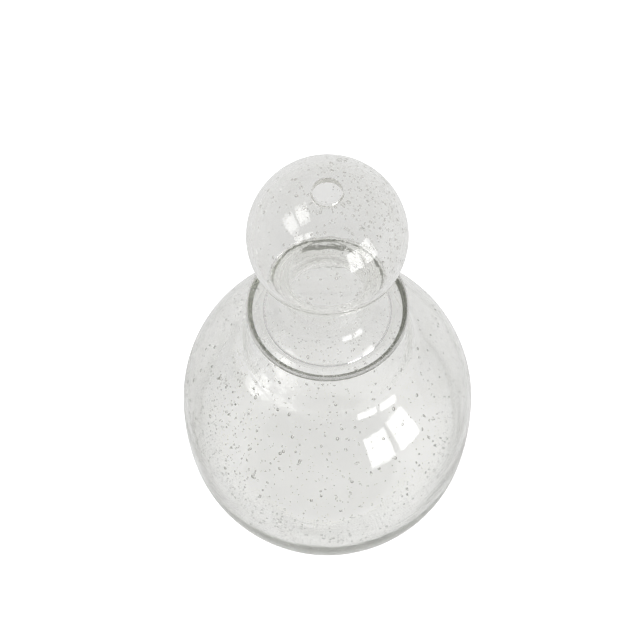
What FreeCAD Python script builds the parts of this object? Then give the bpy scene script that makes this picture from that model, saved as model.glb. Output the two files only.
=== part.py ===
import FreeCAD, Part
import math
import os
import Sketcher

# Hand-blown glass vessel with a hollow ball lid.
# Millimetres, +Z up. The origin is on the axis, in the plane that the vessel stands on.
# Both pieces are walls of revolution. A profile is drawn with its radius along the sketch's
# first axis and its height along the second.

# name, size, what it is
SIZES = [
    ("belly_radius", 107.2, "outer radius at the widest part of the vessel"),
    ("belly_height", 101.0, "height of the widest part above the foot"),
    ("belly_bow", 320.0, "radius of the upright curve of the belly wall"),
    ("shoulder_radius", 102.0, "outer radius of the shoulder curve"),
    ("shoulder_height", 118.5, "height of the shoulder curve's centre"),
    ("lower_radius", 102.0, "outer radius of the curve between belly and heel"),
    ("lower_height", 86.0, "height of the lower curve's centre"),
    ("heel_radius", 14.0, "outer radius of the heel that runs into the foot"),
    ("neck_curve", 17.0, "hollow radius where the shoulder turns up into the neck"),
    ("neck_taper", 8.5, "degrees that the neck leans in towards the rim"),
    ("rim_radius", 53.4, "outer radius of the rim"),
    ("vessel_height", 247.0, "height of the rim above the foot"),
    ("vessel_wall", 3.0, "wall of the vessel above its belly"),
    ("lower_thickening", 5.0, "how far the wall thickens on its way down to the heel"),
    ("floor_thickness", 12.0, "height of the flat inside floor"),
    ("floor_curve", 40.0, "inside radius between floor and wall"),
    ("kick_radius", 52.0, "radius of the pushed-up middle of the foot"),
    ("kick_height", 4.0, "how far the middle of the foot is pushed up"),
    ("rim_round", 0.8, "fire-polished edges of the rim"),
    ("ball_radius", 50.0, "outer radius of the lid's ball"),
    ("ball_height", 90.0, "ball's centre above the plane of the rim"),
    ("ball_wall", 3.0, "wall at the bottom of the ball"),
    ("crown_thickening", 2.4, "how much thicker the crown is than the bottom of the ball"),
    ("crown_hole_radius", 9.2, "radius of the hole through the crown"),
    ("crown_round", 0.7, "fire-polished edges of the crown hole"),
    ("waist_radius", 28.5, "outer radius of the waist below the ball"),
    ("waist_curve", 11.0, "hollow radius between ball and waist"),
    ("flare_curve", 12.0, "hollow radius between waist and dome"),
    ("lid_wall", 2.8, "wall of the waist, the dome and the brim"),
    ("dome_curve", 46.0, "outer radius of the dome's curve"),
    ("dome_reach", 33.8, "how far the dome curve's centre is inside the valley"),
    ("valley_inset", 5.9, "how far the valley is inside the mouth of the vessel"),
    ("valley_round", 1.6, "hollow radius at the bottom of the valley"),
    ("brim_slope", 30.0, "degrees that the brim rises on its way out"),
    ("brim_overhang", 0.5, "how much further out the brim reaches than the rim"),
    ("brim_round", 1.0, "fire-polished edges of the brim"),
    ("foot_depth", 3.6, "how far the lid's foot hangs below the rim"),
    ("foot_inset", 3.3, "how far the lid's open underside is inside the valley"),
    ("foot_round", 1.2, "rounded edges of the lid's foot"),
]
SIZE = {alias: value for alias, value, meaning in SIZES}
START, END, CENTRE = 1, 2, 3
ORIGIN = (-1, 1)
UP_AXIS = -2
TURN = 360.0
CLOSE = 1e-3


def make_sheet(doc):
    sheet = doc.addObject("Spreadsheet::Sheet", "sizes")
    for row, (alias, value, meaning) in enumerate(SIZES, start=1):
        sheet.set("A%d" % row, alias)
        sheet.set("B%d" % row, str(value))
        sheet.set("C%d" % row, meaning)
        sheet.setAlias("B%d" % row, alias)
    doc.recompute()


def total(*terms):
    """A sum of sizes, as the sheet's expression and as a number. A leading minus subtracts."""
    expression, number = "0", 0.0
    for term in terms:
        alias = term.lstrip("-")
        sign = "-" if term.startswith("-") else "+"
        expression += " %s sizes.%s" % (sign, alias)
        number += SIZE[alias] if sign == "+" else -SIZE[alias]
    return expression, number


class Profile:
    """A sketch in the body's upright plane, whose dimensions follow the sheet."""

    def __init__(self, body, name):
        self.sketch = body.newObject("Sketcher::SketchObject", name)
        plane = next(f for f in body.Origin.OriginFeatures if f.Role == "XZ_Plane")
        self.sketch.AttachmentSupport = [(plane, "")]
        self.sketch.MapMode = "FlatFace"

    def line(self, first, last):
        ends = [FreeCAD.Vector(x, y, 0) for x, y in (first, last)]
        return self.sketch.addGeometry(Part.LineSegment(*ends), False)

    def arc(self, centre, radius, first_degrees, last_degrees):
        circle = Part.Circle(FreeCAD.Vector(*centre, 0), FreeCAD.Vector(0, 0, 1), radius)
        first, last = math.radians(first_degrees), math.radians(last_degrees)
        return self.sketch.addGeometry(Part.ArcOfCircle(circle, first, last), False)

    def rule(self, kind, *where):
        return self.sketch.addConstraint(Sketcher.Constraint(kind, *where))

    def smooth(self, one, other):
        self.rule("Tangent", *one, *other)

    def corner(self, one, other):
        self.rule("Coincident", *one, *other)

    def dimension(self, kind, where, size):
        expression, number = size
        number = math.radians(number) if kind == "Angle" else number
        index = self.rule(kind, *where, number)
        self.sketch.setExpression("Constraints[%d]" % index, expression)

    def across(self, where, size):
        self.dimension("DistanceX", (*ORIGIN, *where), size)

    def height(self, where, size):
        self.dimension("DistanceY", (*ORIGIN, *where), size)

    def radius(self, arc, size):
        self.dimension("Radius", (arc,), size)


def turn(body, kind, name, profile):
    feature = body.newObject("PartDesign::" + kind, name)
    feature.Profile = profile.sketch
    feature.ReferenceAxis = (profile.sketch, ["V_Axis"])
    feature.Angle = TURN
    return feature


def ring_edges(feature, wanted):
    """Names of the feature's round edges at the wanted (radius, height) pairs."""
    names = []
    for number, edge in enumerate(feature.Shape.Edges, start=1):
        if edge.Degenerated or not isinstance(edge.Curve, Part.Circle):
            continue
        for radius, height in wanted:
            same_radius = abs(edge.Curve.Radius - radius) < CLOSE
            if same_radius and abs(edge.Curve.Center.z - height) < CLOSE:
                names.append("Edge%d" % number)
    if len(names) != len(wanted):
        raise RuntimeError("%s: %d of %d rings found" % (feature.Name, len(names), len(wanted)))
    return names


def round_rings(body, name, base, wanted, alias):
    fillet = body.newObject("PartDesign::Fillet", name)
    fillet.Base = (base, ring_edges(base, wanted))
    fillet.setExpression("Radius", "sizes." + alias)
    return fillet


def vessel_wall_profile(body, name, floor, floor_curve, lower, lower_height, belly, bow,
                        shoulder, neck_curve, rim):
    """The vessel's outer or inner side, closed along the axis. Each argument is a total()."""
    profile = Profile(body, name)
    z_floor, r_floor, r_lower, z_lower = floor[1], floor_curve[1], lower[1], lower_height[1]
    r_belly, r_bow, r_shoulder, r_neck, r_rim = belly[1], bow[1], shoulder[1], neck_curve[1], rim[1]
    z_belly, z_shoulder, top = SIZE["belly_height"], SIZE["shoulder_height"], SIZE["vessel_height"]
    taper = SIZE["neck_taper"]

    # where the curves meet, worked out closely enough for the sketch to settle on the exact places
    bow_x = r_belly - r_bow
    up = math.degrees(math.asin((z_shoulder - z_belly) / (r_bow - r_shoulder)))
    down = math.degrees(math.asin((z_lower - z_belly) / (r_bow - r_lower)))
    shoulder_x = bow_x + (r_bow - r_shoulder) * math.cos(math.radians(up))
    lower_x = bow_x + (r_bow - r_lower) * math.cos(math.radians(down))
    heel = math.degrees(math.asin((z_floor + r_floor - z_lower) / (r_lower - r_floor)))
    heel_x = lower_x + (r_lower - r_floor) * math.cos(math.radians(heel))
    neck_x = r_rim + r_neck
    turn_up = math.degrees(math.acos((neck_x - shoulder_x) / (r_shoulder + r_neck)))
    neck_z = z_shoulder + (r_shoulder + r_neck) * math.sin(math.radians(turn_up))

    base = profile.line((0, z_floor), (heel_x, z_floor))
    heel_arc = profile.arc((heel_x, z_floor + r_floor), r_floor, -90, heel)
    lower_arc = profile.arc((lower_x, z_lower), r_lower, heel, down)
    belly_arc = profile.arc((bow_x, z_belly), r_bow, down, up)
    shoulder_arc = profile.arc((shoulder_x, z_shoulder), r_shoulder, up, turn_up)
    neck_arc = profile.arc((neck_x, neck_z), r_neck, 180 + taper, 180 + turn_up)
    neck = profile.line((r_rim, neck_z), (r_rim, top))
    rim_line = profile.line((r_rim, top), (0, top))
    axis = profile.line((0, top), (0, z_floor))

    profile.rule("Horizontal", base)
    profile.smooth((base, END), (heel_arc, START))
    profile.smooth((heel_arc, END), (lower_arc, START))
    profile.smooth((lower_arc, END), (belly_arc, START))
    profile.smooth((belly_arc, END), (shoulder_arc, START))
    profile.smooth((shoulder_arc, END), (neck_arc, END))
    profile.smooth((neck_arc, START), (neck, START))
    profile.corner((neck, END), (rim_line, START))
    profile.corner((rim_line, END), (axis, START))
    profile.corner((axis, END), (base, START))
    profile.rule("Horizontal", rim_line)
    profile.rule("PointOnObject", axis, START, UP_AXIS)
    if z_floor:
        profile.rule("PointOnObject", axis, END, UP_AXIS)
        profile.height((base, START), floor)
    else:
        profile.corner((base, START), ORIGIN)
    for arc, size in ((heel_arc, floor_curve), (lower_arc, lower), (belly_arc, bow),
                      (shoulder_arc, shoulder), (neck_arc, neck_curve)):
        profile.radius(arc, size)
    profile.height((belly_arc, CENTRE), total("belly_height"))
    inset = "%s - (%s)" % (bow[0], belly[0]), r_bow - r_belly
    profile.dimension("DistanceX", (belly_arc, CENTRE, *ORIGIN), inset)
    profile.height((lower_arc, CENTRE), lower_height)
    profile.height((shoulder_arc, CENTRE), total("shoulder_height"))
    profile.dimension("Angle", (neck,), ("90 + sizes.neck_taper", 90 + taper))
    profile.across((neck, END), rim)
    profile.height((neck, END), total("vessel_height"))
    return profile


def make_vessel(doc):
    body = doc.addObject("PartDesign::Body", "vessel")
    body.Label = "vessel"
    outside = vessel_wall_profile(
        body, "vessel_outside", ("0", 0.0), total("heel_radius"), total("lower_radius"),
        total("lower_height"), total("belly_radius"), total("belly_bow"),
        total("shoulder_radius"), total("neck_curve"), total("rim_radius"))
    solid = turn(body, "Revolution", "vessel_form", outside)
    doc.recompute()
    inside = vessel_wall_profile(
        body, "vessel_inside", total("floor_thickness"), total("floor_curve"),
        total("lower_radius", "-vessel_wall"), total("lower_height", "lower_thickening"),
        total("belly_radius", "-vessel_wall"), total("belly_bow", "-vessel_wall"),
        total("shoulder_radius", "-vessel_wall"), total("neck_curve", "vessel_wall"),
        total("rim_radius", "-vessel_wall"))
    hollow = turn(body, "Groove", "vessel_hollow", inside)
    doc.recompute()
    if hollow.Shape.Volume > solid.Shape.Volume / 2:
        raise RuntimeError("the vessel wasn't hollowed")

    # the middle of the foot is pushed up, so the vessel stands on a ring
    kick = Profile(body, "foot_kick")
    radius, height = SIZE["kick_radius"], SIZE["kick_height"]
    curve = (radius ** 2 + height ** 2) / (2 * height)
    half = math.degrees(math.asin(radius / curve))
    arc = kick.arc((0, height - curve), curve, 90 - half, 90)
    ground = kick.line((0, 0), (radius, 0))
    middle = kick.line((0, height), (0, 0))
    kick.corner((arc, START), (ground, END))
    kick.corner((arc, END), (middle, START))
    kick.corner((middle, END), (ground, START))
    kick.corner((ground, START), ORIGIN)
    kick.rule("Horizontal", ground)
    kick.rule("PointOnObject", arc, CENTRE, UP_AXIS)
    kick.rule("PointOnObject", arc, END, UP_AXIS)
    kick.across((arc, START), total("kick_radius"))
    kick.height((arc, END), total("kick_height"))
    kicked = turn(body, "Groove", "foot_hollow", kick)
    doc.recompute()
    if kicked.Shape.Volume >= hollow.Shape.Volume:
        raise RuntimeError("the foot wasn't pushed up")

    rim, top = SIZE["rim_radius"], SIZE["vessel_height"]
    rings = [(rim, top), (rim - SIZE["vessel_wall"], top)]
    round_rings(body, "rim_polish", kicked, rings, "rim_round")
    return body


def mouth_radius():
    return SIZE["rim_radius"] - SIZE["vessel_wall"]


def dome_centre():
    """Across and up: the dome's curve touches the rounding of the valley from inside."""
    slope, rounding = math.radians(SIZE["brim_slope"]), SIZE["valley_round"]
    rise = SIZE["lid_wall"] + rounding - SIZE["valley_inset"] * math.sin(slope)
    reach = SIZE["dome_reach"]
    drop = math.sqrt((SIZE["dome_curve"] + rounding) ** 2 - reach ** 2)
    return mouth_radius() - SIZE["valley_inset"] - reach, rise / math.cos(slope) - drop


DOME_DEPTH = ("sqrt((sizes.dome_curve + sizes.valley_round) ^ 2 - sizes.dome_reach ^ 2)"
              " - (sizes.lid_wall + sizes.valley_round"
              " - sizes.valley_inset * sin(sizes.brim_slope * 1 deg))"
              " / cos(sizes.brim_slope * 1 deg)")


def lid_side_profile(body, name, ball, ball_height, waist, waist_curve, flare_curve, dome, finish):
    """Ball, waist and dome as one smooth line, closed below by what finish draws."""
    profile = Profile(body, name)
    r_ball, z_ball, r_waist = ball[1], ball_height[1], waist[1]
    r_upper, r_lower, r_dome = waist_curve[1], flare_curve[1], dome[1]
    dome_x, dome_z = dome_centre()
    upper_x, lower_x = r_waist + r_upper, r_waist + r_lower
    upper = math.degrees(math.acos(upper_x / (r_ball + r_upper)))
    upper_z = z_ball - (r_ball + r_upper) * math.sin(math.radians(upper))
    lower = math.degrees(math.acos((lower_x - dome_x) / (r_dome + r_lower)))
    lower_z = dome_z + (r_dome + r_lower) * math.sin(math.radians(lower))

    dome_start, foot, low = finish(profile, r_dome)
    dome_arc = profile.arc((dome_x, dome_z), r_dome, dome_start[2], lower)
    flare_arc = profile.arc((lower_x, lower_z), r_lower, 180, 180 + lower)
    waist_line = profile.line((r_waist, lower_z), (r_waist, upper_z))
    waist_arc = profile.arc((upper_x, upper_z), r_upper, 180 - upper, 180)
    ball_arc = profile.arc((0, z_ball), r_ball, -upper, 90)
    axis = profile.line((0, z_ball + r_ball), (0, low))

    if profile.sketch.Geometry[dome_start[0]].TypeId == "Part::GeomArcOfCircle":
        profile.smooth(dome_start[:2], (dome_arc, START))
    else:
        profile.corner(dome_start[:2], (dome_arc, START))
    profile.smooth((dome_arc, END), (flare_arc, END))
    profile.smooth((flare_arc, START), (waist_line, START))
    profile.smooth((waist_line, END), (waist_arc, END))
    profile.smooth((waist_arc, START), (ball_arc, START))
    profile.corner((ball_arc, END), (axis, START))
    profile.corner((axis, END), foot)
    profile.rule("Vertical", waist_line)
    profile.rule("PointOnObject", ball_arc, CENTRE, UP_AXIS)
    profile.rule("PointOnObject", ball_arc, END, UP_AXIS)
    profile.rule("PointOnObject", axis, END, UP_AXIS)
    profile.height((ball_arc, CENTRE), ball_height)
    profile.across((waist_line, START), waist)
    profile.across((dome_arc, CENTRE),
                   total("rim_radius", "-vessel_wall", "-valley_inset", "-dome_reach"))
    profile.dimension("DistanceY", (dome_arc, CENTRE, *ORIGIN), (DOME_DEPTH, -dome_z))
    profile.height(foot, ("-sizes.foot_depth", low))
    for arc, size in ((ball_arc, ball), (waist_arc, waist_curve), (flare_arc, flare_curve),
                      (dome_arc, dome)):
        profile.radius(arc, size)
    return profile


def outer_brim(profile, dome_radius):
    """The outside's lower end: foot, sloping brim and valley. The rim's plane is height 0.

    The brim's underside runs through the rim's sharp inner corner, so the rounding of the rim
    is what leaves a hair's gap between vessel and lid.
    """
    corner, low = mouth_radius(), -SIZE["foot_depth"]
    brim = SIZE["rim_radius"] + SIZE["brim_overhang"]
    slope, wall, rounding = SIZE["brim_slope"], SIZE["lid_wall"], SIZE["valley_round"]
    tangent = math.tan(math.radians(slope))
    upright = wall / math.cos(math.radians(slope))
    under = (brim - corner) * tangent
    dome_x, dome_z = dome_centre()
    valley_x = corner - SIZE["valley_inset"]
    dome_start = math.degrees(math.acos((valley_x - dome_x) / (dome_radius + rounding)))
    valley_z = dome_z + (dome_radius + rounding) * math.sin(math.radians(dome_start))

    foot = profile.line((0, low), (corner + low / tangent, low))
    cone = profile.line((corner + low / tangent, low), (brim, under))
    edge = profile.line((brim, under), (brim, under + upright))
    top = profile.line((brim, under + upright), (valley_x, upright - (corner - valley_x) * tangent))
    valley = profile.arc((valley_x, valley_z), rounding, 180 + dome_start, 270 + slope)
    rim_corner = profile.sketch.addGeometry(Part.Point(FreeCAD.Vector(corner, 0, 0)), True)

    profile.rule("Horizontal", foot)
    profile.rule("Vertical", edge)
    profile.rule("Parallel", cone, top)
    profile.corner((foot, END), (cone, START))
    profile.corner((cone, END), (edge, START))
    profile.corner((edge, END), (top, START))
    profile.smooth((top, END), (valley, END))
    profile.rule("PointOnObject", rim_corner, START, -1)
    profile.rule("PointOnObject", rim_corner, START, cone)
    profile.across((rim_corner, START), total("rim_radius", "-vessel_wall"))
    profile.across((edge, START), total("rim_radius", "brim_overhang"))
    profile.dimension("Angle", (cone,), total("brim_slope"))
    profile.dimension("Distance", (edge, END, cone), total("lid_wall"))
    profile.radius(valley, total("valley_round"))
    return (valley, START, dome_start), (foot, START), low


def inner_mouth(profile, dome_radius):
    """The inside's lower end: an upright drop from the dome to the lid's open underside."""
    low = -SIZE["foot_depth"]
    mouth = mouth_radius() - SIZE["valley_inset"] - SIZE["foot_inset"]
    dome_x, dome_z = dome_centre()
    dome_start = math.degrees(math.acos((mouth - dome_x) / dome_radius))
    meet = dome_z + dome_radius * math.sin(math.radians(dome_start))
    under = profile.line((0, low), (mouth, low))
    drop = profile.line((mouth, low), (mouth, meet))
    profile.rule("Horizontal", under)
    profile.rule("Vertical", drop)
    profile.corner((under, END), (drop, START))
    profile.across((under, END), total("rim_radius", "-vessel_wall", "-valley_inset", "-foot_inset"))
    return (drop, END, dome_start), (under, START), low


def make_ball_lid(doc):
    body = doc.addObject("PartDesign::Body", "ball_lid")
    body.Label = "ball_lid"
    outside = lid_side_profile(
        body, "lid_outside", total("ball_radius"), total("ball_height"), total("waist_radius"),
        total("waist_curve"), total("flare_curve"), total("dome_curve"), outer_brim)
    solid = turn(body, "Revolution", "lid_form", outside)
    doc.recompute()

    half = SIZE["crown_thickening"] / 2
    hollow_radius = ("sizes.ball_radius - sizes.ball_wall - sizes.crown_thickening / 2",
                     SIZE["ball_radius"] - SIZE["ball_wall"] - half)
    hollow_height = ("sizes.ball_height - sizes.crown_thickening / 2",
                     SIZE["ball_height"] - half)
    inside = lid_side_profile(
        body, "lid_inside", hollow_radius, hollow_height, total("waist_radius", "-lid_wall"),
        total("waist_curve", "lid_wall"), total("flare_curve", "lid_wall"),
        total("dome_curve", "-lid_wall"), inner_mouth)
    hollow = turn(body, "Groove", "lid_hollow", inside)
    doc.recompute()
    if hollow.Shape.Volume > solid.Shape.Volume / 2:
        raise RuntimeError("the lid wasn't hollowed")

    hole = Profile(body, "crown_hole_outline")
    radius, middle = SIZE["crown_hole_radius"], SIZE["ball_height"]
    crown = middle + SIZE["ball_radius"]
    corners = [(0, middle), (radius, middle), (radius, crown), (0, crown)]
    sides = [hole.line(corners[i], corners[(i + 1) % 4]) for i in range(4)]
    for i in range(4):
        hole.corner((sides[i], END), (sides[(i + 1) % 4], START))
        hole.rule("Vertical" if i % 2 else "Horizontal", sides[i])
    hole.rule("PointOnObject", sides[0], START, UP_AXIS)
    hole.height((sides[0], START), total("ball_height"))
    hole.across((sides[0], END), total("crown_hole_radius"))
    hole.height((sides[1], END), total("ball_height", "ball_radius"))
    holed = turn(body, "Groove", "crown_hole", hole)
    doc.recompute()
    if holed.Shape.Volume >= hollow.Shape.Volume:
        raise RuntimeError("the crown wasn't holed")

    outer_top = middle + math.sqrt(SIZE["ball_radius"] ** 2 - radius ** 2)
    inner_top = hollow_height[1] + math.sqrt(hollow_radius[1] ** 2 - radius ** 2)
    polished = round_rings(body, "crown_polish", holed,
                           [(radius, outer_top), (radius, inner_top)], "crown_round")
    doc.recompute()
    brim = SIZE["rim_radius"] + SIZE["brim_overhang"]
    slope = math.radians(SIZE["brim_slope"])
    under = (brim - mouth_radius()) * math.tan(slope)
    over = under + SIZE["lid_wall"] / math.cos(slope)
    rounded = round_rings(body, "brim_polish", polished, [(brim, under), (brim, over)],
                          "brim_round")
    doc.recompute()
    low = -SIZE["foot_depth"]
    outer = mouth_radius() + low / math.tan(slope)
    inner = mouth_radius() - SIZE["valley_inset"] - SIZE["foot_inset"]
    round_rings(body, "foot_polish", rounded, [(outer, low), (inner, low)], "foot_round")
    body.setExpression("Placement.Base.z", "sizes.vessel_height")
    return body


def check(doc, bodies):
    for item in doc.Objects:
        if "Invalid" in item.State or "Error" in item.State:
            raise RuntimeError("%s failed: %s" % (item.Name, item.State))
        if item.isDerivedFrom("Sketcher::SketchObject") and item.solve() != 0:
            raise RuntimeError("%s doesn't solve" % item.Name)
    for body in bodies:
        if body.Shape.isNull() or not body.Shape.isValid() or len(body.Shape.Solids) != 1:
            raise RuntimeError("%s isn't one valid solid" % body.Label)


def main():
    doc = FreeCAD.newDocument("ball_lid_vessel")
    make_sheet(doc)
    bodies = [make_vessel(doc), make_ball_lid(doc)]
    doc.recompute()
    check(doc, bodies)
    os.makedirs("parts", exist_ok=True)
    for body in bodies:
        body.Shape.exportStep("parts/%s.step" % body.Label)
        box = body.Shape.BoundBox
        print("%s: %.1f cm3, z %.2f to %.2f, radius %.2f" % (
            body.Label, body.Shape.Volume / 1000, box.ZMin, box.ZMax, box.XMax))


main()
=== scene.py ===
import math
import random

import bmesh
import bpy
import numpy as np
from bpy.props import FloatProperty, FloatVectorProperty, IntProperty, PointerProperty
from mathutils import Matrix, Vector, noise


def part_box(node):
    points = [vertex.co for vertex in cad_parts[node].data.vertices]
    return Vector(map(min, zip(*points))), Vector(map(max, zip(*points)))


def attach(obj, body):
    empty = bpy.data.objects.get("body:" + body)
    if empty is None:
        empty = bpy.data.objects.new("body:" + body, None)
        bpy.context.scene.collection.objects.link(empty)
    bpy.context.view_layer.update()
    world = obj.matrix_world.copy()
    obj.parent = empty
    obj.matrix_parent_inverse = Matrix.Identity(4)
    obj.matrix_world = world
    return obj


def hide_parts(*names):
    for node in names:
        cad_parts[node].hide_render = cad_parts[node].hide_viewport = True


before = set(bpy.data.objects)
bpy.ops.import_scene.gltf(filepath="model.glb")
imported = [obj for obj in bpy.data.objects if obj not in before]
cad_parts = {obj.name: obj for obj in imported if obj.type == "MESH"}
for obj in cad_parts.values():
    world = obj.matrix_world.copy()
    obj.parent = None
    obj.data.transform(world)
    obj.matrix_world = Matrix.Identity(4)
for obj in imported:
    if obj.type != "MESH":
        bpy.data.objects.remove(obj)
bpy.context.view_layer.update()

bl_info = {
    "name": "Seeded glass vessel with ball lid",
    "version": (1, 0, 0),
    "blender": (4, 5, 0),
    "location": "View3D > Sidebar > Glassware",
    "description": "Builds a blown vessel of seeded glass, its hollow ball lid and a plain stage",
    "category": "Add Mesh",
}

MM = 0.001
VESSEL_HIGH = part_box("vessel")[1]
LID_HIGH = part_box("ball_lid")[1]
TINY = 1e-6
POLISH_POINTS = 6
FLOOR_HALF = 8.0
FLOOR_GAP = 0.2 * MM
CAMERA_PLACE = (0.0, -0.481, 1.0895)
SENSOR_WIDTH = 36.0
CAMERA_SHIFT = -0.0116
BOUNCES = 96
VESSEL_DRAW, LID_DRAW = 7, 11


def linear(colour):
    """An sRGB hex colour as linear red, green and blue."""
    parts = [int(colour[i:i + 2], 16) / 255 for i in (1, 3, 5)]
    return tuple(p / 12.92 if p <= 0.04045 else ((p + 0.055) / 1.055) ** 2.4 for p in parts)


def size(name, description, millimetres):
    return FloatProperty(name=name, description=description, default=millimetres * MM, min=0.0,
                         unit="LENGTH", subtype="DISTANCE", precision=4)


def angle(name, description, degrees):
    return FloatProperty(name=name, description=description, default=math.radians(degrees),
                         unit="ROTATION", subtype="ANGLE")


def amount(name, description, default):
    return FloatProperty(name=name, description=description, default=default, min=0.0)


def tint(name, description, colour):
    return FloatVectorProperty(name=name, description=description, default=linear(colour),
                               subtype="COLOR", size=3, min=0.0, max=1.0)


class VesselSizes(bpy.types.PropertyGroup):
    height: size("Height", "From the foot to the rim", VESSEL_HIGH.z / MM)
    belly_radius: size("Belly radius", "Outer radius at the widest part", VESSEL_HIGH.x / MM)
    belly_height: size("Belly height", "Height of the widest part", 101.0)
    belly_bow: size("Belly bow", "Radius of the upright curve of the belly", 320.0)
    shoulder_radius: size("Shoulder radius", "Radius of the shoulder's curve", 102.0)
    shoulder_height: size("Shoulder height", "Height of the shoulder curve's centre", 118.5)
    lower_radius: size("Lower radius", "Radius of the curve under the belly", 102.0)
    lower_height: size("Lower height", "Height of the lower curve's centre", 86.0)
    heel_radius: size("Heel radius", "Radius of the curve that runs into the foot", 14.0)
    neck_curve: size("Neck curve", "Hollow radius between shoulder and neck", 17.0)
    neck_taper: angle("Neck taper", "How far the neck leans in towards the rim", 8.5)
    rim_radius: size("Rim radius", "Outer radius of the rim", 53.4)
    wall: size("Wall", "Thickness above the belly", 3.0)
    lower_thickening: size("Lower thickening", "How much the wall gains towards the heel", 5.0)
    floor: size("Floor", "Height of the flat inside floor", 12.0)
    floor_curve: size("Floor curve", "Inside radius between floor and wall", 40.0)
    kick_radius: size("Kick radius", "Radius of the pushed-up middle of the foot", 52.0)
    kick_height: size("Kick height", "How far the middle of the foot is pushed up", 4.0)


class LidSizes(bpy.types.PropertyGroup):
    seat: size("Seat", "Height of the plane of the vessel's rim", VESSEL_HIGH.z / MM)
    ball_radius: size("Ball radius", "Outer radius of the ball", 50.0)
    ball_height: size("Ball height", "Ball's centre above the rim", 90.0)
    ball_wall: size("Ball wall", "Thickness at the bottom of the ball", 3.0)
    crown_thickening: size("Crown thickening", "How much thicker the crown is", 2.4)
    hole_radius: size("Hole radius", "Radius of the hole in the crown", 9.2)
    waist_radius: size("Waist radius", "Outer radius of the waist", 28.5)
    waist_curve: size("Waist curve", "Hollow radius between ball and waist", 11.0)
    flare_curve: size("Flare curve", "Hollow radius between waist and dome", 12.0)
    wall: size("Wall", "Thickness of waist, dome and brim", 2.8)
    dome_curve: size("Dome curve", "Outer radius of the dome", 46.0)
    dome_reach: size("Dome reach", "From the valley in to the dome curve's centre", 33.8)
    mouth_radius: size("Mouth radius", "Inner radius of the vessel's rim", 50.4)
    valley_inset: size("Valley inset", "How far the valley is inside the mouth", 5.9)
    valley_round: size("Valley round", "Hollow radius at the bottom of the valley", 1.6)
    brim_slope: angle("Brim slope", "How steeply the brim rises on its way out", 30.0)
    brim_radius: size("Brim radius", "Outer radius of the brim", LID_HIGH.x / MM)
    foot_depth: size("Foot depth", "How far the lid's foot hangs below the rim", 3.6)
    foot_inset: size("Foot inset", "From the valley in to the open underside", 3.3)


class BlownFinish(bpy.types.PropertyGroup):
    step: size("Step", "Longest stretch between two rings of the mesh", 3.2)
    rings: IntProperty(name="Sides", description="Faces round each piece", default=128, min=24)
    fine_bubble: size("Fine bubble", "Half width above which a bubble gets more faces", 0.6)
    polish: size("Polish", "How far fire-polishing has rounded each edge", 0.9)
    wobble: size("Wobble", "How far a piece is from truly round", 0.45)
    wave: size("Wave", "How much the wall's thickness wanders", 0.16)
    wave_length: size("Wave length", "Distance from one thick place to the next", 26.0)


class SeedSizes(bpy.types.PropertyGroup):
    in_vessel: IntProperty(name="In the vessel", description="Air bubbles in the vessel's wall",
                           default=3500, min=0)
    in_lid: IntProperty(name="In the lid", description="Air bubbles in the lid's wall",
                        default=1300, min=0)
    smallest: size("Smallest", "Half the length of the smallest bubble", 0.22)
    largest: size("Largest", "Half the length of the largest bubble", 1.15)
    usual: size("Usual", "Half the length of the usual bubble", 0.46)


class GlassLook(bpy.types.PropertyGroup):
    vessel_tint: tint("Vessel tint", "What thick glass of the vessel lets through", "#C8CAC0")
    lid_tint: tint("Lid tint", "What thick glass of the lid lets through", "#DEDDD7")
    depth: amount("Depth", "How fast the tint gathers, per metre of glass", 7.0)
    film: tint("Film", "The faint cast of the surface where it is handled", "#F8F8F6")


class StageLook(bpy.types.PropertyGroup):
    floor_colour: tint("Floor colour", "Matt white paper", "#DCDCDB")
    # Floor glow and the pool glow are emission painted into the paper itself: a painted pool of
    # light, brighter under the object and fading outwards.
    floor_glow: amount("Floor glow", "Light from below the paper, away from the object", 0.39)
    painted_pool_glow: amount("Near glow", "Light from below the paper, under the object", 0.68)
    pool_inside: size("Pool inside", "Where the soft pool of light begins to fade", 60.0)
    pool_outside: size("Pool outside", "Where the soft pool of light has faded", 150.0)
    room: amount("Room", "Brightness of the room's walls and ceiling", 0.48)
    window: amount("Window", "Brightness of the windows", 4.5)
    lens: FloatProperty(name="Lens", description="Focal length", default=82.2, unit="CAMERA")
    tilt: angle("Tilt", "Camera's tilt up from straight down", 29.3)


def line(first, last, step):
    """Points from first to last, both included."""
    first, last = np.array(first, float), np.array(last, float)
    count = max(1, math.ceil(np.linalg.norm(last - first) / step))
    return [first + (last - first) * i / count for i in range(count + 1)]


def arc(centre, radius, start, end, step):
    """Points of an arc from one angle in radians to another, both included."""
    count = max(6, math.ceil(abs(end - start) * radius / step))
    turns = [start + (end - start) * i / count for i in range(count + 1)]
    return [np.array((centre[0] + radius * math.cos(t), centre[1] + radius * math.sin(t)))
            for t in turns]


def joined(*stretches):
    """One outline from stretches that follow each other."""
    points = []
    for stretch in stretches:
        for point in stretch:
            if not points or np.linalg.norm(point - points[-1]) > TINY:
                points.append(point)
    return points


def polished(points, corner, reach):
    """The outline with one sharp corner turned into a curve that starts reach before it."""
    at = min(range(len(points)), key=lambda i: np.linalg.norm(points[i] - np.array(corner)))
    sharp = points[at]
    before = [p for p in points[:at] if np.linalg.norm(p - sharp) > reach]
    after = [p for p in points[at + 1:] if np.linalg.norm(p - sharp) > reach]
    lead = points[at - 1] - sharp
    trail = points[at + 1] - sharp
    start = sharp + lead / np.linalg.norm(lead) * reach
    end = sharp + trail / np.linalg.norm(trail) * reach
    curve = []
    for i in range(POLISH_POINTS + 1):
        t = i / POLISH_POINTS
        curve.append(start * (1 - t) ** 2 + sharp * 2 * t * (1 - t) + end * t ** 2)
    return before + curve + after


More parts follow.
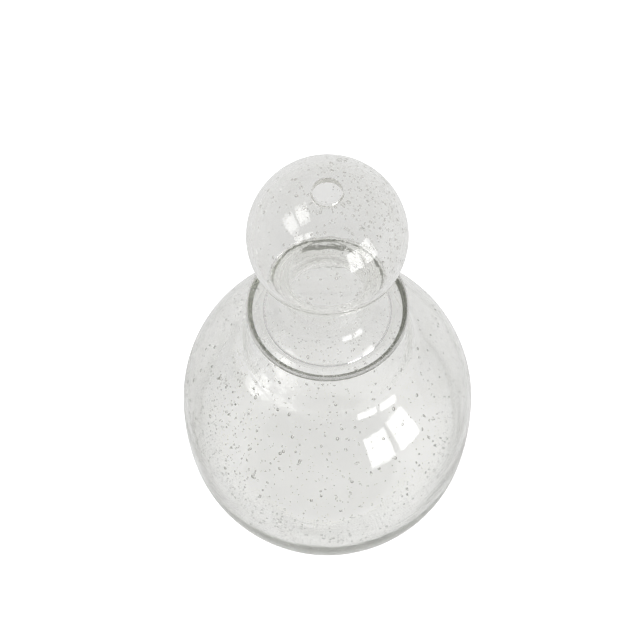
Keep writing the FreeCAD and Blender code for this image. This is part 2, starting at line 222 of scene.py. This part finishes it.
def vessel_side(s, offset, floor, floor_curve, lower_height, step):
    """The vessel's outer side, or with an offset its inner side, from the axis to the rim."""
    bow = s.belly_bow - offset
    lower = s.lower_radius - offset
    shoulder = s.shoulder_radius - offset
    neck = s.neck_curve + offset
    rim = np.array((s.rim_radius - offset, s.height))
    bow_centre = np.array((s.belly_radius - s.belly_bow, s.belly_height))
    up = math.asin((s.shoulder_height - s.belly_height) / (bow - shoulder))
    down = math.asin((lower_height - s.belly_height) / (bow - lower))
    shoulder_centre = bow_centre + (bow - shoulder) * np.array((math.cos(up), math.sin(up)))
    lower_centre = bow_centre + (bow - lower) * np.array((math.cos(down), math.sin(down)))
    heel = math.asin((floor + floor_curve - lower_centre[1]) / (lower - floor_curve))
    heel_centre = lower_centre + (lower - floor_curve) * np.array((math.cos(heel), math.sin(heel)))

    # the neck's hollow curve touches both the leaning neck and the shoulder
    lean = s.neck_taper
    along = np.array((math.sin(lean), -math.cos(lean)))
    origin = rim + neck * np.array((math.cos(lean), math.sin(lean)))
    apart = origin - shoulder_centre
    half = float(apart @ along)
    slack = half ** 2 - float(apart @ apart) + (shoulder + neck) ** 2
    neck_centre = origin + along * (-half - math.sqrt(slack))
    if float((neck_centre - origin) @ along) < 0:
        neck_centre = origin + along * (-half + math.sqrt(slack))
    away = neck_centre - shoulder_centre
    turn_up = math.atan2(away[1], away[0])

    return joined(
        line((0, floor), (heel_centre[0], floor), step),
        arc(heel_centre, floor_curve, -math.pi / 2, heel, step),
        arc(lower_centre, lower, heel, down, step),
        arc(bow_centre, bow, down, up, step),
        arc(shoulder_centre, shoulder, up, turn_up, step),
        arc(neck_centre, neck, math.pi + turn_up, math.pi + lean, step),
        line(neck_centre - neck * np.array((math.cos(lean), math.sin(lean))), rim, step))


def vessel_outline(s, finish):
    """Outer and inner side of the vessel, each from the axis to the rim."""
    outer = vessel_side(s, 0.0, 0.0, s.heel_radius, s.lower_height, finish.step)
    curve = (s.kick_radius ** 2 + s.kick_height ** 2) / (2 * s.kick_height)
    half = math.asin(s.kick_radius / curve)
    kick = arc((0, s.kick_height - curve), curve, math.pi / 2, math.pi / 2 - half, finish.step)
    outer = joined(kick, [p for p in outer if p[0] > s.kick_radius])
    outer = polished(outer, (s.kick_radius, 0), finish.polish)
    inner = vessel_side(s, s.wall, s.floor, s.floor_curve,
                        s.lower_height + s.lower_thickening, finish.step)
    return outer, inner


def lid_side(s, ball, ball_height, waist, waist_curve, flare_curve, dome, dome_start, step):
    """Dome, waist and ball as one smooth line, from the dome's start up to the crown."""
    mouth = s.mouth_radius - s.valley_inset
    rise = s.wall + s.valley_round - s.valley_inset * math.sin(s.brim_slope)
    drop = math.sqrt((s.dome_curve + s.valley_round) ** 2 - s.dome_reach ** 2)
    dome_centre = np.array((mouth - s.dome_reach, rise / math.cos(s.brim_slope) - drop))
    upper = math.acos((waist + waist_curve) / (ball + waist_curve))
    lower = math.acos((waist + flare_curve - dome_centre[0]) / (dome + flare_curve))
    upper_centre = (waist + waist_curve, ball_height - (ball + waist_curve) * math.sin(upper))
    lower_centre = (waist + flare_curve, dome_centre[1] + (dome + flare_curve) * math.sin(lower))
    first = dome_start(dome_centre, dome)
    crown = math.acos(s.hole_radius / ball)
    return dome_centre, joined(
        arc(dome_centre, dome, first, lower, step),
        arc(lower_centre, flare_curve, math.pi + lower, math.pi, step),
        line((waist, lower_centre[1]), (waist, upper_centre[1]), step),
        arc(upper_centre, waist_curve, math.pi, math.pi - upper, step),
        arc((0, ball_height), ball, -upper, crown, step))


def lid_outline(s, finish):
    """Outer side from the brim's edge up to the crown hole, and inner side back down."""
    step = finish.step
    slope = math.tan(s.brim_slope)
    upright = s.wall / math.cos(s.brim_slope)
    valley = s.mouth_radius - s.valley_inset

    def outer_start(centre, dome):
        return math.acos((valley - centre[0]) / (dome + s.valley_round))

    def inner_start(centre, dome):
        return math.acos((valley - s.foot_inset - centre[0]) / dome)

    centre, outside = lid_side(s, s.ball_radius, s.ball_height, s.waist_radius, s.waist_curve,
                               s.flare_curve, s.dome_curve, outer_start, step)
    half = s.crown_thickening / 2
    inside = lid_side(
        s, s.ball_radius - s.ball_wall - half, s.ball_height - half, s.waist_radius - s.wall,
        s.waist_curve + s.wall, s.flare_curve + s.wall, s.dome_curve - s.wall, inner_start,
        step)[1]
    start = outer_start(centre, s.dome_curve)
    reach = s.dome_curve + s.valley_round
    valley_centre = centre + reach * np.array((math.cos(start), math.sin(start)))
    turned = 1.5 * math.pi + s.brim_slope
    brim_under = (s.brim_radius, (s.brim_radius - s.mouth_radius) * slope)
    brim_over = (s.brim_radius, brim_under[1] + upright)
    foot = (s.mouth_radius - s.foot_depth / slope, -s.foot_depth)
    open_edge = (valley - s.foot_inset, -s.foot_depth)
    valley_low = valley_centre + s.valley_round * np.array((math.cos(turned), math.sin(turned)))
    outer = joined(
        line(brim_under, brim_over, step / 2),
        line(brim_over, valley_low, step / 2),
        arc(valley_centre, s.valley_round, turned, math.pi + start, step / 4),
        outside)
    inner = joined(
        line(brim_under, foot, step / 2),
        line(foot, open_edge, step / 2),
        line(open_edge, inside[0], step / 2),
        inside)
    outer = polished(outer, brim_over, finish.polish)
    inner = polished(inner, foot, finish.polish)
    inner = polished(inner, open_edge, finish.polish)
    lift = np.array((0, s.seat))
    return [p + lift for p in outer], [p + lift for p in inner]


class Blown:
    """How the breath and the tools have left one piece slightly uneven."""

    def __init__(self, finish, place, still):
        self.finish = finish
        self.place = place
        self.still = still

    def moved(self, radius, height, turn, inside):
        """A point of the perfect form, as it is on the real piece. It only ever moves inwards."""
        finish = self.finish
        calm = min(1.0, abs(height - self.still) / (18 * MM))
        round_about = Vector((math.cos(turn), math.sin(turn), height / (90 * MM) + self.place))
        wobble = finish.wobble * calm * (0.5 + 0.5 * noise.noise(round_about * 1.3))
        if inside:
            at = Vector((radius * math.cos(turn), radius * math.sin(turn), height))
            along = at / finish.wave_length + Vector((self.place, 0, 0))
            wobble += finish.wave * calm * noise.noise(along)
        share = min(1.0, radius / (12 * MM))
        return radius - wobble * share


def turned_mesh(points, inside_from, blown, sides):
    """Vertices and faces of a closed outline turned about the axis. Ends on it become poles."""
    vertices, rows = [], []
    for index, (radius, height) in enumerate(points):
        if radius < TINY:
            rows.append([len(vertices)])
            vertices.append((0.0, 0.0, height))
            continue
        rows.append(list(range(len(vertices), len(vertices) + sides)))
        for side in range(sides):
            turn = 2 * math.pi * side / sides
            here = blown.moved(radius, height, turn, index >= inside_from)
            vertices.append((here * math.cos(turn), here * math.sin(turn), height))
    closed = len(rows[0]) > 1
    pairs = list(zip(rows, rows[1:] + rows[:1])) if closed else list(zip(rows, rows[1:]))
    faces = []
    for low, high in pairs:
        for side in range(sides):
            following = (side + 1) % sides
            if len(low) == 1:
                faces.append((low[0], high[following], high[side]))
            elif len(high) == 1:
                faces.append((low[side], low[following], high[0]))
            else:
                faces.append((low[side], low[following], high[following], high[side]))
    return vertices, faces


def bubble_form(fineness):
    """A small round bubble of radius 1, its faces turned towards the air inside it."""
    ball = bmesh.new()
    bmesh.ops.create_icosphere(ball, subdivisions=fineness, radius=1.0)
    points = np.array([v.co for v in ball.verts])
    faces = [tuple(v.index for v in reversed(f.verts)) for f in ball.faces]
    ball.free()
    return points, faces


def wall_pairs(outer, inner):
    """For each outer point the nearest inner one, so that a place in the wall can be named."""
    inner = np.array(inner)
    pairs = []
    for before, here, after in zip(outer, outer[1:], outer[2:]):
        nearest = inner[np.argmin(np.linalg.norm(inner - here, axis=1))]
        length = np.linalg.norm(after - before) / 2
        pairs.append((here, nearest, (after - before) / (2 * length), length))
    return pairs


def seeds(outer, inner, count, crowding, crowded_turn, look, dice):
    """Bubbles spread through a wall: their centres, half lengths and directions.

    Crowding says how many there are at a height, and crowded_turn where round the axis most are.
    """
    pairs = wall_pairs(outer, inner)
    weights = [pair[0][0] * pair[3] * crowding(pair[0][1]) for pair in pairs]
    taken, found = {}, []
    cell = 2 * look.largest
    tries = 0
    while len(found) < count and tries < 20 * count:
        tries += 1
        here, nearest, along, length = dice.choices(pairs, weights)[0]
        turn = dice.uniform(0, 2 * math.pi)
        if dice.random() > 0.6 + 0.4 * math.cos(turn - crowded_turn):
            continue
        half = min(look.largest, max(look.smallest, look.usual * math.exp(dice.gauss(0, 0.45))))
        thick = float(np.linalg.norm(nearest - here))
        deep = min(half * dice.uniform(0.5, 0.85), thick * 0.3)
        share = dice.uniform(deep / thick + 0.12, 1 - deep / thick - 0.12)
        stretch = 1 + abs(dice.gauss(0, 0.3))
        lean = dice.gauss(0, 0.6)
        r, z = here + (nearest - here) * share + along * dice.uniform(-0.5, 0.5) * length
        around = np.array((math.cos(turn), math.sin(turn), 0.0))
        sideways = np.array((-math.sin(turn), math.cos(turn), 0.0))
        centre = around * r + np.array((0, 0, z))
        meridian = around * along[0] + np.array((0, 0, along[1]))
        long_way = meridian * math.cos(lean) + sideways * math.sin(lean)
        through = np.cross(meridian, sideways)
        wide_way = np.cross(long_way, through)
        axes = np.array((long_way * half * stretch, wide_way * half, through * deep))
        key = tuple(np.floor(centre / cell).astype(int))
        near = [other for dx in (-1, 0, 1) for dy in (-1, 0, 1) for dz in (-1, 0, 1)
                for other in taken.get((key[0] + dx, key[1] + dy, key[2] + dz), [])]
        reach = half * stretch
        if any(np.linalg.norm(centre - c) < (reach + far) * 0.9 for c, far in near):
            continue
        taken.setdefault(key, []).append((centre, reach))
        found.append((centre, axes))
    return found


def glass_piece(name, outer, inner, blown, finish, found):
    """One object: the blown wall with its bubbles as hollows in the same glass."""
    points = outer + inner[::-1]
    if outer[0][0] > TINY:
        points = outer + inner[:0:-1]
    vertices, faces = turned_mesh(points, len(outer), blown, finish.rings)
    forms = {fine: bubble_form(2 if fine else 1) for fine in (True, False)}
    for centre, axes in found:
        unit, sides = forms[np.linalg.norm(axes[1]) > finish.fine_bubble]
        start = len(vertices)
        mirrored = np.linalg.det(axes) < 0
        vertices.extend(map(tuple, centre + unit @ axes))
        faces.extend(tuple(start + i for i in (face[::-1] if mirrored else face))
                     for face in sides)
    mesh = bpy.data.meshes.new(name)
    mesh.from_pydata(vertices, [], faces)
    mesh.shade_smooth()
    mesh.update()
    piece = bpy.data.objects.new(name, mesh)
    bpy.context.scene.collection.objects.link(piece)
    return piece


def add_node(tree, kind, inputs=(), **settings):
    """Adds a node with its settings. An input is given a value, or a socket to be linked to."""
    node = tree.nodes.new(kind)
    for key, value in settings.items():
        setattr(node, key, value)
    for key, value in dict(inputs).items():
        if isinstance(value, bpy.types.NodeSocket):
            tree.links.new(value, node.inputs[key])
        else:
            node.inputs[key].default_value = value
    return node


def new_material(name):
    material = bpy.data.materials.new(name)
    material.use_nodes = True
    material.node_tree.nodes.clear()
    return material, material.node_tree


def seeded_soda_lime_glass(name, body_tint, look):
    """Soda-lime glass, blown and fire-polished.

    It is clear in a thin wall, gathers a grey-green cast in depth, and its skin keeps faint
    swells from the breath and the tools.
    """
    material, tree = new_material(name)
    where = add_node(tree, "ShaderNodeTexCoord").outputs["Object"]
    swell = add_node(tree, "ShaderNodeTexNoise", {
        "Vector": where, "Scale": 1 / (16 * MM), "Detail": 1.0, "Roughness": 0.4})
    cords = add_node(tree, "ShaderNodeMapping", {
        "Vector": where, "Scale": (1.0, 1.0, 2.6), "Rotation": (0.12, 0.05, 0.0)})
    striae = add_node(tree, "ShaderNodeTexNoise", {
        "Vector": cords.outputs["Vector"], "Scale": 1 / (9 * MM), "Detail": 2.0})
    relief = add_node(tree, "ShaderNodeMath", {
        0: swell.outputs["Fac"], 1: striae.outputs["Fac"]}, operation="ADD")
    bump = add_node(tree, "ShaderNodeBump", {
        "Height": relief.outputs["Value"], "Strength": 0.25, "Distance": 0.12 * MM})
    cast = add_node(tree, "ShaderNodeMix", {
        "Factor": swell.outputs["Fac"], "A": (1.0, 1.0, 1.0, 1.0), "B": (*look.film, 1.0)},
        data_type="RGBA")
    shader = add_node(tree, "ShaderNodeBsdfPrincipled", {
        "Base Color": cast.outputs["Result"], "Roughness": 0.0, "IOR": 1.51,
        "Transmission Weight": 1.0, "Normal": bump.outputs["Normal"]})
    depth = add_node(tree, "ShaderNodeVolumeAbsorption", {
        "Color": (*body_tint, 1.0), "Density": look.depth})
    add_node(tree, "ShaderNodeOutputMaterial", {
        "Surface": shader.outputs["BSDF"], "Volume": depth.outputs["Volume"]})
    return material


def paper_with_painted_pool(look):
    """Uncoated white paper: it scatters evenly, without gloss.

    A pool of light is painted into it: it glows most under the object and less away from it.
    Where the camera sees it bare it glows brighter still, so it is overexposed there.
    """
    material, tree = new_material("paper_with_painted_pool")
    place = add_node(tree, "ShaderNodeTexCoord").outputs["Object"]
    away = add_node(tree, "ShaderNodeVectorMath", {0: place}, operation="LENGTH").outputs["Value"]
    # painted pool of light: the paper's own glow is strongest under the object and fades outwards
    pool = add_node(tree, "ShaderNodeMapRange", {
        "Value": away, "From Min": look.pool_inside, "From Max": look.pool_outside,
        "To Min": look.painted_pool_glow, "To Max": look.floor_glow},
        interpolation_type="SMOOTHSTEP", clamp=True).outputs["Result"]
    bare = add_node(tree, "ShaderNodeLightPath").outputs["Is Camera Ray"]
    glow = add_node(tree, "ShaderNodeMath", {0: pool, 1: bare}, operation="ADD").outputs["Value"]
    shader = add_node(tree, "ShaderNodeBsdfPrincipled", {
        "Base Color": (*look.floor_colour, 1.0), "Roughness": 0.9, "Specular IOR Level": 0.0,
        "Emission Color": (1.0, 1.0, 1.0, 1.0), "Emission Strength": glow})
    add_node(tree, "ShaderNodeOutputMaterial", {"Surface": shader.outputs["BSDF"]})
    return material


class GLASSWARE_OT_vessel(bpy.types.Operator):
    """Blow the vessel: a round-bodied wall of seeded glass, open at the neck"""
    bl_idname = "glassware.vessel"
    bl_label = "Vessel"

    def execute(self, context):
        tools = context.scene.glassware
        sizes, finish, look = tools.vessel, tools.finish, tools.seeds
        outer, inner = vessel_outline(sizes, finish)
        dice = random.Random(VESSEL_DRAW)

        def crowding(height):
            return 1.0 + 4.0 * max(0.0, 1 - abs(height - 34 * MM) / (34 * MM))

        found = seeds(outer, inner, look.in_vessel, crowding, math.radians(-125), look, dice)
        rim = joined(outer, inner[::-1])
        rim = polished(rim, outer[-1], finish.polish)
        rim = polished(rim, inner[-1], finish.polish)
        middle = sizes.rim_radius - sizes.wall / 2
        split = min(range(len(rim)), key=lambda i: (abs(rim[i][0] - middle)
                                                    + abs(rim[i][1] - sizes.height)))
        blown = Blown(finish, 0.0, sizes.height)
        piece = glass_piece("vessel_wall", rim[:split], rim[split:][::-1], blown, finish, found)
        piece.data.materials.append(
            seeded_soda_lime_glass("seeded_glass_vessel", tools.glass.vessel_tint, tools.glass))
        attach(piece, "vessel")
        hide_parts("vessel")
        return {"FINISHED"}


class GLASSWARE_OT_lid(bpy.types.Operator):
    """Blow the lid: brim, dome, waist and hollow ball as one wall of seeded glass"""
    bl_idname = "glassware.lid"
    bl_label = "Ball lid"

    def execute(self, context):
        tools = context.scene.glassware
        sizes, finish, look = tools.lid, tools.finish, tools.seeds
        outer, inner = lid_outline(sizes, finish)
        dice = random.Random(LID_DRAW)
        found = seeds(outer[4:], inner[4:], look.in_lid, lambda height: 1.0, 0.0, look, dice)
        crown_out, crown_in = outer[-1], inner[-1]
        ring = joined(outer, inner[:0:-1])
        ring = polished(ring, crown_out, finish.polish)
        ring = polished(ring, crown_in, finish.polish)
        blown = Blown(finish, 5.0, sizes.seat)
        half = min(range(len(ring)), key=lambda i: np.linalg.norm(
            ring[i] - (crown_out + crown_in) / 2))
        piece = glass_piece("lid_wall", ring[:half], (ring[half:] + ring[:1])[::-1], blown,
                            finish, found)
        piece.data.materials.append(
            seeded_soda_lime_glass("seeded_glass_lid", tools.glass.lid_tint, tools.glass))
        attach(piece, "lid")
        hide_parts("ball_lid")
        return {"FINISHED"}


def window_mask(tree, outlook, direction, half_width, half_height):
    """1 where the outlook passes through an upright pane that faces the object, else 0."""
    facing = Vector(direction).normalized()
    right = facing.cross(Vector((0, 0, 1))).normalized()
    up = right.cross(facing)
    ahead = add_node(tree, "ShaderNodeVectorMath", {0: outlook, 1: facing},
                     operation="DOT_PRODUCT").outputs["Value"]
    masks = [add_node(tree, "ShaderNodeMath", {0: ahead, 1: 0.1},
                      operation="GREATER_THAN").outputs["Value"]]
    for way, half in ((right, half_width), (up, half_height)):
        across = add_node(tree, "ShaderNodeVectorMath", {0: outlook, 1: way},
                          operation="DOT_PRODUCT").outputs["Value"]
        slope = add_node(tree, "ShaderNodeMath", {0: across, 1: ahead},
                         operation="DIVIDE").outputs["Value"]
        far = add_node(tree, "ShaderNodeMath", {0: slope}, operation="ABSOLUTE").outputs["Value"]
        masks.append(add_node(tree, "ShaderNodeMath", {0: far, 1: math.tan(half)},
                              operation="LESS_THAN").outputs["Value"])
    both = add_node(tree, "ShaderNodeMath", {0: masks[0], 1: masks[1]}, operation="MULTIPLY")
    return add_node(tree, "ShaderNodeMath", {0: both.outputs["Value"], 1: masks[2]},
                    operation="MULTIPLY").outputs["Value"]


def direction_of(azimuth, elevation):
    """A direction from degrees: azimuth 0 is towards the front, 90 to the right."""
    a, e = math.radians(azimuth), math.radians(elevation)
    return math.sin(a) * math.cos(e), -math.cos(a) * math.cos(e), math.sin(e)


# azimuth, elevation, half width and half height in degrees, and share of the full brightness
WINDOWS = [
    (38, 9, 9, 17, 1.0),
    (60, 12, 8.5, 15, 0.9),
]


def make_room(look):
    """A plain room: even grey walls and ceiling, with two windows at the right.

    Seen bare it is overexposed like the paper, so no edge of it stands behind the object.
    """
    world = bpy.data.worlds.new("plain_room")
    world.use_nodes = True
    tree = world.node_tree
    tree.nodes.clear()
    outlook = add_node(tree, "ShaderNodeTexCoord").outputs["Generated"]
    height = add_node(tree, "ShaderNodeSeparateXYZ", {"Vector": outlook}).outputs["Z"]
    walls = add_node(tree, "ShaderNodeMapRange", {
        "Value": height, "From Min": 0.0, "From Max": 0.35, "To Min": 1.7 * look.room,
        "To Max": look.room}, clamp=True).outputs["Result"]
    light = walls
    for azimuth, elevation, half_width, half_height, share in WINDOWS:
        mask = window_mask(tree, outlook, direction_of(azimuth, elevation),
                           math.radians(half_width), math.radians(half_height))
        light = add_node(tree, "ShaderNodeMath", {0: mask, 1: share * look.window, 2: light},
                         operation="MULTIPLY_ADD").outputs["Value"]
    bare = add_node(tree, "ShaderNodeLightPath").outputs["Is Camera Ray"]
    light = add_node(tree, "ShaderNodeMath", {0: light, 1: bare}, operation="ADD").outputs["Value"]
    sky = add_node(tree, "ShaderNodeBackground", {
        "Color": (*linear("#FFFFFF"), 1.0), "Strength": light})
    add_node(tree, "ShaderNodeOutputWorld", {"Surface": sky.outputs["Background"]})
    bpy.context.scene.world = world


class GLASSWARE_OT_stage(bpy.types.Operator):
    """Set the stage: a white floor with a painted pool of light, a plain room with soft windows,
    and the camera
    """
    bl_idname = "glassware.stage"
    bl_label = "Stage"

    def execute(self, context):
        look = context.scene.glassware.stage
        half = FLOOR_HALF
        mesh = bpy.data.meshes.new("floor")
        mesh.from_pydata([(-half, -half, 0), (half, -half, 0), (half, half, 0), (-half, half, 0)],
                         [], [(0, 1, 2, 3)])
        floor = bpy.data.objects.new("floor", mesh)
        floor.location.z = -FLOOR_GAP
        context.scene.collection.objects.link(floor)
        mesh.materials.append(paper_with_painted_pool(look))
        make_room(look)

        camera = bpy.data.cameras.new("camera")
        camera.lens = look.lens
        camera.sensor_width = SENSOR_WIDTH
        camera.shift_x = CAMERA_SHIFT
        holder = bpy.data.objects.new("camera", camera)
        holder.location = CAMERA_PLACE
        holder.rotation_euler = (look.tilt, 0.0, 0.0)
        context.scene.collection.objects.link(holder)
        context.scene.camera = holder

        # light has to get through every wall and bubble, and white has to stay white
        context.scene.cycles.max_bounces = BOUNCES
        context.scene.cycles.transmission_bounces = BOUNCES
        context.scene.cycles.glossy_bounces = BOUNCES
        context.scene.view_settings.view_transform = "Standard"
        return {"FINISHED"}


class Glassware(bpy.types.PropertyGroup):
    vessel: PointerProperty(name="Vessel", description="Sizes of the vessel", type=VesselSizes)
    lid: PointerProperty(name="Lid", description="Sizes of the ball lid", type=LidSizes)
    finish: PointerProperty(name="Finish", description="How the glass was blown",
                            type=BlownFinish)
    seeds: PointerProperty(name="Seeds", description="Air bubbles in the glass", type=SeedSizes)
    glass: PointerProperty(name="Glass", description="Colour of the glass", type=GlassLook)
    stage: PointerProperty(name="Stage", description="Floor, light and camera", type=StageLook)


class GLASSWARE_PT_panel(bpy.types.Panel):
    """Everything that makes the vessel, in the order of its making"""
    bl_idname = "GLASSWARE_PT_panel"
    bl_label = "Seeded glass vessel"
    bl_space_type = "VIEW_3D"
    bl_region_type = "UI"
    bl_category = "Glassware"

    def draw(self, context):
        tools = context.scene.glassware
        for title, group, operator in (
                ("Finish", tools.finish, None), ("Bubbles", tools.seeds, None),
                ("Glass", tools.glass, None), ("Vessel", tools.vessel, GLASSWARE_OT_vessel),
                ("Ball lid", tools.lid, GLASSWARE_OT_lid),
                ("Stage", tools.stage, GLASSWARE_OT_stage)):
            box = self.layout.box()
            box.label(text=title)
            for name in group.__annotations__:
                box.prop(group, name)
            if operator:
                box.operator(operator.bl_idname)


CLASSES = (VesselSizes, LidSizes, BlownFinish, SeedSizes, GlassLook, StageLook, Glassware,
           GLASSWARE_OT_vessel, GLASSWARE_OT_lid, GLASSWARE_OT_stage, GLASSWARE_PT_panel)


def register():
    for item in CLASSES:
        bpy.utils.register_class(item)
    bpy.types.Scene.glassware = PointerProperty(
        name="Glassware", description="Settings of the seeded glass vessel", type=Glassware)


def unregister():
    del bpy.types.Scene.glassware
    for item in reversed(CLASSES):
        bpy.utils.unregister_class(item)


def main():
    register()
    bpy.ops.glassware.stage()
    bpy.ops.glassware.vessel()
    bpy.ops.glassware.lid()


if __name__ == "__main__":
    main()
